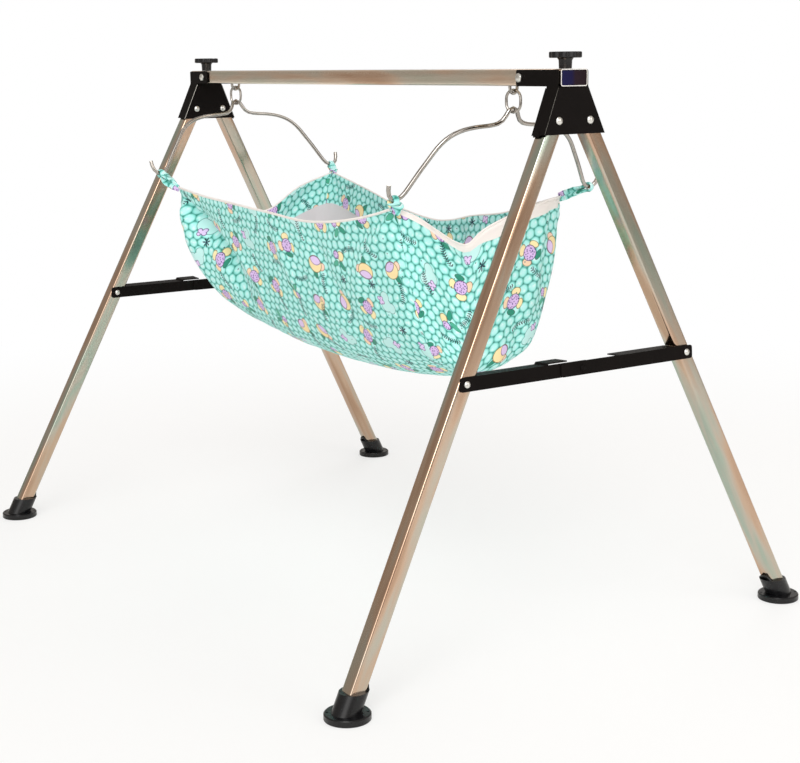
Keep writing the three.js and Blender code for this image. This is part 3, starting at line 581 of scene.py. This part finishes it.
# folds: each is a line in millimetres with its height outward, its width and how its ends
# fade; the long ones hang from the corners, the short ones are puckers at corners and seams
folds = [
    (-13, 16, [(-345, -180, 645), (-306, -171, 607), (-279, -170, 586), (-247, -167, 560),
              (-221, -160, 531), (-200, -150, 500), (-163, -126, 444)]),
    (-14, 40, [(-300, -172, 598), (-240, -170, 572), (-185, -165, 530), (-150, -150, 470)]),
    (10, 26, [(-352, -178, 640), (-350, -174, 585), (-338, -165, 535), (-318, -150, 485),
              (-285, -122, 435)]),
    (4, 13, [(-290, -176, 600), (-189, -176, 579), (-140, -168, 548), (-103, -156, 510),
             (-99, -142, 474), (-95, -129, 444)]),
    (4, 20, [(30, -190, 610), (35, -180, 560), (60, -165, 500), (90, -140, 440)]),
    (-4, 24, [(150, -188, 600), (165, -175, 540), (200, -155, 470), (230, -120, 420)]),
    (3.5, 15, [(372, -186, 650), (300, -182, 600), (250, -170, 540), (230, -155, 490)]),
    (-3, 11, [(360, -186, 655), (280, -184, 620), (210, -180, 580)]),
    (7, 9, [(396, -176, 668), (396, -143, 652), (395, -108, 625), (394, -81, 600),
            (391, -51, 570), (390, -31, 543)]),
    (-8, 10, [(396, -160, 668), (396, -128, 650), (396, -94, 622), (395, -66, 600),
              (392, -38, 575)]),
    (-5, 12, [(388, -150, 640), (392, -100, 575), (390, -70, 520), (388, -50, 470)]),
    (5, 16, [(372, 120, 645), (382, 99, 590), (384, 86, 520), (383, 60, 460)]),
    (-4, 14, [(366, 150, 655), (376, 130, 600), (374, 120, 540), (366, 100, 480)]),
    (-3.5, 9, [(386, -20, 470), (384, -26, 430), (372, -34, 398)]),
    (3, 8, [(387, -58, 480), (384, -56, 435), (368, -60, 402)]),
    (-3.5, 9, [(387, -88, 500), (382, -84, 455), (362, -86, 420)]),
    (3, 8, [(386, 22, 470), (384, 20, 430), (372, 16, 398)]),
    (-3, 9, [(386, 60, 480), (382, 56, 440), (366, 52, 406)]),
    (4, 12, [(-390, 150, 652), (-389, 100, 610), (-386, 60, 560), (-380, 20, 500)]),
    (-4, 14, [(-380, -130, 630), (-380, -80, 580), (-378, -40, 520)]),
    (-4, 20, [(-300, 182, 630), (-250, 178, 590), (-200, 168, 530), (-160, 150, 480)]),
    (4, 18, [(-120, 172, 600), (-110, 168, 550), (-90, 150, 480)]),
    (-4, 20, [(290, 178, 640), (250, 174, 590), (200, 165, 530), (170, 140, 470)]),
    (4, 18, [(80, 172, 600), (60, 168, 550), (40, 150, 480)]),
]
# short puckers fan out of each corner, four on the long panel and three on the end panel
for corner, sx, sy in (("front", -1, -1), ("right", 1, -1), ("back", 1, 1), ("left", -1, 1)):
    at = Vector(rim_lines[corner][0])
    for k in range(4):
        fan = Vector((-sx * (0.25 + 0.28 * k), 0, -1 + 0.12 * k)).normalized()
        folds.append((3.4 * (-1) ** k, 5.5 + k, [at + fan * reach for reach in (4, 30, 62)]))
    for k in range(3):
        fan = Vector((0, -sy * (0.3 + 0.34 * k), -1 + 0.15 * k)).normalized()
        folds.append((3.2 * (-1) ** (k + 1), 5.5 + k, [at + fan * reach for reach in (4, 28, 56)]))

# every point moves along its normal by the sum of the folds near it
normals = np.array([v.normal for v in cloth_shape.verts])
millimetres = points * 1000
push = np.zeros(len(points))
fold_gain = 1.8
for height, width, line in folds:
    line = np.array(line, float)
    nearest = np.full(len(points), 1e9)
    along = np.zeros(len(points))
    for k in range(len(line) - 1):
        leg = line[k + 1] - line[k]
        share = np.clip((millimetres - line[k]) @ leg / (leg @ leg), 0, 1)
        gap = np.linalg.norm(millimetres - line[k] - share[:, None] * leg, axis=1)
        closer = gap < nearest
        nearest = np.where(closer, gap, nearest)
        along = np.where(closer, (k + share) / (len(line) - 1), along)
    fade = np.clip((1 - along) / 0.45, 0, 1) ** 0.7 * np.clip(along / 0.12 + 0.35, 0, 1)
    push += fold_gain * height * np.exp(-(nearest / width) ** 2) * fade
# a slow, a middling and a fine ripple, then less of it all close to the hem
ripple = np.array([1.9 * noise.noise(v.co * 9) + 1.0 * noise.noise(v.co * 24 + Vector((3, 1, 7)))
                   + 0.45 * noise.noise(v.co * 60) for v in cloth_shape.verts])
push += ripple
push *= np.clip(0.3 + from_rim / 30, 0, 1)
for vert, normal, height in zip(cloth_shape.verts, normals, push):
    vert.co += Vector(normal) * (height / 1000)

# the rim is rolled into a white hem, 3.4 mm high and 2.6 mm thick, once round the opening
next_to = {}
for edge in cloth_shape.edges:
    if edge.is_boundary:
        first, second = edge.verts
        for one, two in ((first, second), (second, first)):
            next_to.setdefault(one.index, []).append(two.index)
cloth_shape.verts.ensure_lookup_table()
rim_walk = [min(next_to)]
while len(rim_walk) < len(next_to):
    here = rim_walk[-1]
    before = rim_walk[-2] if len(rim_walk) > 1 else None
    rim_walk.append(next(i for i in next_to[here] if i != before))
hem_half_thick, hem_half_high, hem_inset, hem_sides = 0.0013, 0.0017, 0.0006, 10
roll = bmesh.new()
roll_rings = []
for i, index in enumerate(rim_walk):
    ahead_of = cloth_shape.verts[rim_walk[(i + 1) % len(rim_walk)]].co
    behind = cloth_shape.verts[rim_walk[i - 1]].co
    run_on = (ahead_of - behind).normalized()
    outward = Vector(normals[index])
    outward = (outward - run_on * outward.dot(run_on)).normalized()
    upright = run_on.cross(outward)
    bulge = 1 + 0.12 * noise.noise(cloth_shape.verts[index].co * 60)
    roll_rings.append([roll.verts.new(
        cloth_shape.verts[index].co
        + outward * (hem_half_thick * bulge * math.cos(a) - hem_inset)
        + upright * hem_half_high * bulge * math.sin(a))
        for a in [2 * math.pi * k / hem_sides for k in range(hem_sides)]])
for one, two in zip(roll_rings, roll_rings[1:] + roll_rings[:1]):
    for k in range(hem_sides):
        further = (k + 1) % hem_sides
        face = roll.faces.new([one[k], one[further], two[further], two[k]])
        face.smooth = True
bmesh.ops.recalc_face_normals(roll, faces=roll.faces)
roll_mesh = bpy.data.meshes.new("hammock_hem")
roll.to_mesh(roll_mesh)
roll.free()
hem = bpy.data.objects.new("hammock_hem", roll_mesh)
bpy.context.collection.objects.link(hem)
# hem tape: off-white cotton, its weave too fine to see, a little grubby in places
tape = bpy.data.materials.new("white_hem_tape")
tape.use_nodes = True
tree = tape.node_tree
shader = tree.nodes["Principled BSDF"]
place = add_node(tree, "ShaderNodeTexCoord").outputs["Object"]
wear = add_node(tree, "ShaderNodeTexNoise", {"Vector": place, "Scale": 60, "Detail": 4})
shade = add_node(tree, "ShaderNodeMix", {
    "Factor": wear.outputs[0], 6: linear("#e6dfdb"), 7: linear("#faf5f2")}, data_type="RGBA")
tree.links.new(shade.outputs[2], shader.inputs["Base Color"])
shader.inputs["Roughness"].default_value = 0.85
hem.data.materials.append(tape)
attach(hem, "cradle")

# the cloth itself, still a single layer
cloth_mesh = bpy.data.meshes.new("hammock_cloth")
cloth_shape.to_mesh(cloth_mesh)
cloth_shape.free()
hammock = bpy.data.objects.new("hammock_cloth", cloth_mesh)
bpy.context.collection.objects.link(hammock)

# Printed cotton, plain weave: pale round cells on a deeper mint ground, strewn with berries,
# fruit, clouds and fern sprigs. Threads are 0.3 mm apart, drawn 1 mm apart to show.
def printed_cotton(name, lined):
    cotton = bpy.data.materials.new(name)
    cotton.use_nodes = True
    tree = cotton.node_tree
    shader = tree.nodes["Principled BSDF"]

    def calc(kind, a, b=0.0, c=0.0):
        return add_node(tree, "ShaderNodeMath", {0: a, 1: b, 2: c}, operation=kind).outputs[0]

    def vector(kind, a, b):
        inputs = {0: a, 3: b} if kind == "SCALE" else {0: a, 1: b}
        return add_node(tree, "ShaderNodeVectorMath", inputs, operation=kind).outputs[0]

    def blend(factor, a, b):
        return add_node(tree, "ShaderNodeMix", {"Factor": factor, 6: a, 7: b},
                        data_type="RGBA").outputs[2]

    def inside(distance, edge, soft):
        return add_node(tree, "ShaderNodeMapRange", {
            "Value": distance, "From Min": edge + soft, "From Max": edge - soft}).outputs[0]

    cut = add_node(tree, "ShaderNodeUVMap", uv_map="cut_metres").outputs[0]
    split = add_node(tree, "ShaderNodeSeparateXYZ", {0: cut})
    # the cells sit on a hexagonal lattice, 16.5 mm apart, a little unevenly
    wobble = add_node(tree, "ShaderNodeTexNoise", {"Vector": cut, "Scale": 40, "Detail": 1})
    shift = vector("SCALE", vector("SUBTRACT", wobble.outputs["Color"], (0.5, 0.5, 0.5)), 0.004)
    wavy = vector("ADD", cut, shift)
    rings = []
    for offset in ((0, 0, 0), (0.00825, 0.01429, 0)):
        cell = vector("DIVIDE", vector("ADD", wavy, offset), (0.0165, 0.02858, 1))
        part = vector("SUBTRACT", vector("FRACTION", cell, (0, 0, 0)), (0.5, 0.5, 0))
        part = vector("MULTIPLY", part, (1, 1.732, 0))
        rings.append(add_node(tree, "ShaderNodeVectorMath", {0: part},
                              operation="LENGTH").outputs["Value"])
    near = calc("MINIMUM", rings[0], rings[1])
    colour = ramp(tree, near, [(0.0, "#c6f6f5"), (0.3, "#aff2ee"), (0.42, "#8ee0d9"),
                               (0.48, "#62b8ad"), (0.53, "#3f9688"), (0.58, "#2b7769")])

    # and each cell has a soft white glint that the printer's screen has broken up
    glint = add_node(tree, "ShaderNodeTexNoise", {"Vector": cut, "Scale": 170, "Detail": 1})
    glint = add_node(tree, "ShaderNodeMapRange", {
        "Value": glint.outputs[0], "From Min": 0.5, "From Max": 0.68, "To Max": 0.6}).outputs[0]
    colour = blend(calc("MULTIPLY", glint, inside(near, 0.36, 0.1)), colour, linear("#f0fffd"))

    def field(pitch, offset, seed):
        # one motif in each cell of a loose lattice, shifted and turned by chance
        big = vector("SCALE", vector("ADD", cut, offset), 1 / pitch)
        row = calc("FLOOR", add_node(tree, "ShaderNodeSeparateXYZ", {0: big}).outputs["Y"])
        slide = add_node(tree, "ShaderNodeCombineXYZ", {"X": calc("MULTIPLY", row, 0.43)})
        big = vector("ADD", big, slide.outputs[0])
        tile = vector("ADD", vector("FLOOR", big, (0, 0, 0)), (seed, 0, 0))
        chance = add_node(tree, "ShaderNodeTexWhiteNoise", {"Vector": tile},
                          noise_dimensions="2D").outputs
        jitter = vector("SCALE", vector("SUBTRACT", chance["Color"], (0.5, 0.5, 0.5)), 0.3)
        local = vector("SUBTRACT", vector("FRACTION", big, (0, 0, 0)), (0.5, 0.5, 0))
        local = add_node(tree, "ShaderNodeVectorRotate", {
            "Vector": vector("ADD", local, jitter),
            "Angle": calc("MULTIPLY", chance["Value"], 44.0)},
            rotation_type="Z_AXIS").outputs[0]
        spot = add_node(tree, "ShaderNodeSeparateXYZ", {0: vector("SCALE", local, pitch * 1000)})
        kind = add_node(tree, "ShaderNodeTexWhiteNoise", {"Vector": vector(
            "ADD", tile, (7.3, 3.1, 0))}, noise_dimensions="2D").outputs["Value"]
        return spot.outputs["X"], spot.outputs["Y"], kind

    x, y, kind = field(0.072, (0.02, 0.03, 0), 5)

    def disc(cx, cy, radius, squash=1.0, lean=0.0):
        dx = calc("SUBTRACT", x, cx)
        dy = calc("SUBTRACT", y, cy)
        if lean:
            c, s = math.cos(lean), math.sin(lean)
            dx, dy = (calc("MULTIPLY_ADD", dx, c, calc("MULTIPLY", dy, s)),
                      calc("MULTIPLY_ADD", dy, c, calc("MULTIPLY", dx, -s)))
        dy = calc("MULTIPLY", dy, squash)
        d = calc("SQRT", calc("MULTIPLY_ADD", dx, dx, calc("MULTIPLY", dy, dy)))
        return calc("SUBTRACT", d, radius)

    def paint(base, distance, fill, line, gate):
        base = blend(calc("MULTIPLY", inside(distance, 0.7, 0.25), gate), base, linear(line))
        fill = fill if not isinstance(fill, str) else linear(fill)
        return blend(calc("MULTIPLY", inside(distance, -0.45, 0.25), gate), base, fill)

    def chosen(low, high):
        return calc("MULTIPLY", calc("GREATER_THAN", kind, low),
                    calc("LESS_THAN", kind, high))

    dots = add_node(tree, "ShaderNodeTexVoronoi", {"Vector": cut, "Scale": 1 / 0.0042},
                    voronoi_dimensions="2D").outputs["Distance"]
    dotted = blend(inside(dots, 0.24, 0.05), linear("#dcc0ee"), linear("#553588"))
    # berry: a lilac round with dark dots between two buds, over a leaf
    gate = chosen(0.0, 0.36)
    colour = paint(colour, disc(-11, 11, 9, 1.5, 0.6), "#f9e9b6", "#8f7440", gate)
    colour = paint(colour, disc(12, 9, 8.5, 1.5, -0.8), "#f8d9b8", "#94684c", gate)
    colour = paint(colour, disc(10, -13, 8.5, 1.9, 0.9), "#2f8f76", "#17594a", gate)
    colour = paint(colour, disc(-9, -12, 8, 1.6, -0.7), "#f9e9b2", "#8f7440", gate)
    colour = paint(colour, disc(0, 0, 12.5, 1.15), dotted, "#4b3a6e", gate)
    # fruit: a yellow round with a lilac side and a leaf on its stalk
    gate = chosen(0.36, 0.6)
    colour = paint(colour, disc(-13, 12, 8.5, 1.9, -0.7), "#2f8f76", "#17594a", gate)
    colour = paint(colour, disc(9, 13, 7.5, 1.3), "#f8d6c0", "#94684c", gate)
    colour = paint(colour, disc(0, 0, 14.5), "#f8e2ac", "#87703c", gate)
    colour = paint(colour, calc("MAXIMUM", disc(0, 0, 13.6), disc(10, -7, 13)),
                   "#e2cbf2", "#6f578c", gate)
    # cloud: pale puffs with one small flower on the side
    gate = chosen(0.6, 0.82)
    puffs = calc("MINIMUM", disc(-10, -1, 9.5),
                 calc("MINIMUM", disc(3, 5, 12), disc(12, -4, 9)))
    colour = paint(colour, puffs, "#c4f0ee", "#6fa9a4", gate)
    petals = disc(-8, 12, 3.2)
    for cx, cy in ((-13, 15), (-11, 9), (-5, 15), (-4, 10)):
        petals = calc("MINIMUM", petals, disc(cx, cy, 3.2))
    colour = paint(colour, petals, "#e4cdf4", "#6f578c", gate)
    # sprig: two buds over a pair of green leaves
    gate = chosen(0.82, 1.01)
    colour = paint(colour, disc(-9, -8, 9.5, 2.0, 0.7), "#2f9a80", "#17594a", gate)
    colour = paint(colour, disc(9, -8, 9.0, 2.1, -0.6), "#4db294", "#17594a", gate)
    colour = paint(colour, disc(-5, 8, 8.0), "#faedb8", "#8f7440", gate)
    colour = paint(colour, disc(7, 8, 6.8), dotted, "#4b3a6e", gate)

    # between them fern sprigs of dark short strokes, and little dark bursts
    x, y, kind = field(0.072, (0.056, 0.066, 0), 23)
    bent = calc("ADD", y, calc("MULTIPLY", calc("MULTIPLY", x, x), 0.012))
    tall = calc("ABSOLUTE", bent)
    phase = calc("FRACT", calc("MULTIPLY", calc("MULTIPLY_ADD", tall, 0.55, x), 1 / 3.9))
    strokes = calc("ABSOLUTE", calc("SUBTRACT", phase, 0.5))
    leaf = calc("MULTIPLY", inside(strokes, 0.2, 0.04), inside(tall, 4.2, 0.3))
    stem = calc("MAXIMUM", leaf, inside(tall, 0.35, 0.2))
    fern = calc("MULTIPLY", stem, inside(calc("ABSOLUTE", x), 18.5, 0.4))
    colour = blend(calc("MULTIPLY", fern, chosen(0.0, 0.72)), colour, linear("#1c2f38"))
    turn = calc("ARCTAN2", y, x)
    ray = calc("SINE", calc("MULTIPLY", turn, 7.0))
    star = disc(0, 0, 0)
    burst = calc("SUBTRACT", star, calc("MULTIPLY_ADD", ray, 3.6, 5.2))
    colour = blend(calc("MULTIPLY", inside(burst, 0, 0.3), chosen(0.72, 0.93)), colour,
                   linear("#1b2740"))
    # strewn seeds, 2 mm across
    seeds = add_node(tree, "ShaderNodeTexVoronoi", {"Vector": cut, "Scale": 1 / 0.021},
                     voronoi_dimensions="2D")
    few = calc("GREATER_THAN", add_node(tree, "ShaderNodeSeparateColor", {
        0: seeds.outputs["Color"]}).outputs["Red"], 0.75)
    colour = blend(calc("MULTIPLY", inside(seeds.outputs["Distance"], 0.05, 0.012), few),
                   colour, linear("#2d5560"))

    from_rim = add_node(tree, "ShaderNodeAttribute", attribute_name="from_rim_mm").outputs["Fac"]
    if lined:
        # inside, a printed facing 58 mm deep is sewn over a plain pale lining
        plain = inside(from_rim, 58.0, 0.8)
        colour = blend(plain, linear("#d8d5d8"), colour)
    else:
        # the lining is rolled out over the rim and sewn down as an off-white hem
        hem = add_node(tree, "ShaderNodeAttribute", attribute_name="white_hem_mm").outputs["Fac"]
        rolled = inside(calc("SUBTRACT", from_rim, hem), 0.0, 0.5)
        colour = blend(rolled, colour, linear("#f4eeea"))
    # washed cotton is never one tone
    fade = add_node(tree, "ShaderNodeTexNoise", {"Vector": cut, "Scale": 9, "Detail": 4})
    tone = add_node(tree, "ShaderNodeMapRange", {
        "Value": fade.outputs[0], "To Min": 0.93, "To Max": 1.04}).outputs[0]
    colour = vector("SCALE", colour, tone)
    tree.links.new(colour, shader.inputs["Base Color"])

    # weave, seams, hem fold and stitches raise the surface
    threads = [calc("SINE", calc("MULTIPLY", split.outputs[axis], 2 * math.pi / 0.001))
               for axis in ("X", "Y")]
    weave = calc("MULTIPLY", threads[0], threads[1])
    seam = add_node(tree, "ShaderNodeAttribute", attribute_name="from_seam_mm").outputs["Fac"]
    fold = inside(from_rim, 12.0, 1.2)
    stitch_row = inside(calc("ABSOLUTE", calc("SUBTRACT", from_rim, 10.5)), 0.7, 0.35)
    beat = calc("GREATER_THAN", calc("SINE", calc(
        "MULTIPLY", split.outputs["X"], 2 * math.pi / 0.0042)), -0.5)
    stitch = calc("MULTIPLY", stitch_row, beat)
    high = calc("ADD", calc("MULTIPLY_ADD", weave, 0.08, fold),
                calc("MULTIPLY", calc("ADD", stitch, inside(seam, 1.6, 1.2)), -0.8))
    rise = add_node(tree, "ShaderNodeBump", {"Height": high, "Strength": 0.55,
                                             "Distance": 0.0008})
    tree.links.new(rise.outputs[0], shader.inputs["Normal"])
    shader.inputs["Roughness"].default_value = 0.85
    shader.inputs["Sheen Weight"].default_value = 0.15
    shader.inputs["Sheen Roughness"].default_value = 0.5
    shader.inputs["Specular IOR Level"].default_value = 0.25
    return cotton


# the print shows outside; the inside has the facing and the lining, 1.6 mm further in
outside_print = printed_cotton("printed_cotton_outside", False)
inside_print = printed_cotton("printed_cotton_inside", True)
hammock.data.materials.append(outside_print)
hammock.data.materials.append(inside_print)
bpy.context.view_layer.objects.active = hammock
hammock.select_set(True)
wall_thickness = hammock.modifiers.new("cloth_and_lining", "SOLIDIFY")
wall_thickness.thickness = 0.0016
wall_thickness.offset = -1
wall_thickness.material_offset = 1
wall_thickness.use_even_offset = True
bpy.ops.object.modifier_apply(modifier="cloth_and_lining")
hammock.select_set(False)
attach(hammock, "cradle")
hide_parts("hammock")

# Strap loops: each corner is gathered into a neck and sewn to a loop of the same cotton,
# a puffed band of 20 mm folded in four, that twists once and hangs over the hanger's hook.
# the hanger's hooks lie this far below its peak and lean inwards along the bar
hanger_peak, hanger_drop, hanger_place, hanger_lean = 0.8191, 0.1313, 0.442, 0.33
hook_height = hanger_peak - hanger_drop
hook_out = hanger_place - hanger_drop * hanger_lean
hook_aside = 0.1905
strap_sides, steps_up, steps_over = 24, 14, 12
# each corner with its side, its end of the rim, and half widths of the band and of its neck
strap_corners = {"front_right": (1, -1, rim_lines["right"][0], 0.0125, 0.0115),
                 "back_right": (1, 1, rim_lines["back"][0], 0.0078, 0.0052),
                 "back_left": (-1, 1, rim_lines["left"][0], 0.0075, 0.0125),
                 "front_left": (-1, -1, rim_lines["front"][0], 0.0108, 0.0044)}
for name, (sx, sy, corner, half_width, neck_half) in strap_corners.items():
    hook = Vector((sx * hook_out, sy * hook_aside, hook_height))
    neck = Vector(corner) / 1000
    up = (hook - neck).normalized()
    along = (Vector((0, 1, 0)) - up * up.y).normalized()
    wide = along.cross(up)
    length = (hook - neck).length
    # centre line: up one side, over the rod and down the other, 12.4 mm apart at the rod and
    # 5.2 mm apart below it
    route = []
    for i in range(steps_up):
        h = -length - 0.006 + (length + 0.004) * i / steps_up
        route.append((-0.0026 - 0.0036 * math.exp((h + 0.002) / 0.005), h))
    for i in range(steps_over + 1):
        a = math.pi - math.pi * i / steps_over
        route.append((0.0062 * math.cos(a), -0.002 + 0.0078 * math.sin(a)))
    route += [(-w, h) for w, h in route[:steps_up][::-1]]
    band = bmesh.new()
    strap_uv = band.loops.layers.uv.new("cut_metres")
    rim_mark = band.verts.layers.float.new("from_rim_mm")
    seam_mark = band.verts.layers.float.new("from_seam_mm")
    ringlets = []
    run = 0
    for i, (w, h) in enumerate(route):
        before = Vector(route[max(i - 1, 0)])
        after = Vector(route[min(i + 1, len(route) - 1)])
        onward = (after - before).normalized()
        normal = wide * onward.y - up * onward.x
        run += (Vector((w, h)) - before).length
        below = min(max(-h, 0) / length, 1.15)
        twist = max(below - 0.2, 0) * 1.5 * sx * sy
        flat = along * math.cos(twist) + normal * math.sin(twist)
        thick = normal * math.cos(twist) - along * math.sin(twist)
        centre = hook + wide * w + up * h
        swell = math.sin(math.pi * min(below, 1)) ** 0.8
        ends = 0.0046 + (neck_half - 0.0046) * min(below, 1) ** 2
        half = ends + (half_width - ends) * swell
        deep = 0.0017 + 0.0017 * swell + 0.1 * (neck_half - 0.0044) * min(below, 1)
        ringlet = []
        for k in range(strap_sides):
            a = 2 * math.pi * k / strap_sides
            crease = 1 + 0.13 * math.cos(3 * a + i * 0.35) + 0.07 * math.cos(7 * a - i * 0.2)
            place = (centre + flat * half * math.cos(a) * (1 + 0.08 * math.sin(i * 0.9))
                     + thick * deep * math.sin(a) * crease)
            vert = band.verts.new(place)
            vert[rim_mark] = 40
            vert[seam_mark] = 40
            ringlet.append((vert, (half * 2.4 * k / strap_sides, run)))
        ringlets.append(ringlet)
    for one, two in zip(ringlets, ringlets[1:]):
        for k in range(strap_sides):
            further = (k + 1) % strap_sides
            corners = [one[k], one[further], two[further], two[k]]
            face = band.faces.new([c[0] for c in corners])
            for loop in face.loops:
                loop[strap_uv].uv = next(c[1] for c in corners if c[0] is loop.vert)
            face.smooth = True
    band.faces.new([v for v, _ in ringlets[0]][::-1])
    band.faces.new([v for v, _ in ringlets[-1]])
    bmesh.ops.recalc_face_normals(band, faces=band.faces)
    strap_mesh = bpy.data.meshes.new(f"strap_loop_{name}")
    band.to_mesh(strap_mesh)
    band.free()
    strap = bpy.data.objects.new(f"strap_loop_{name}", strap_mesh)
    bpy.context.collection.objects.link(strap)
    strap.data.materials.append(outside_print)
    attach(strap, "cradle")
    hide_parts(f"strap_{name}")
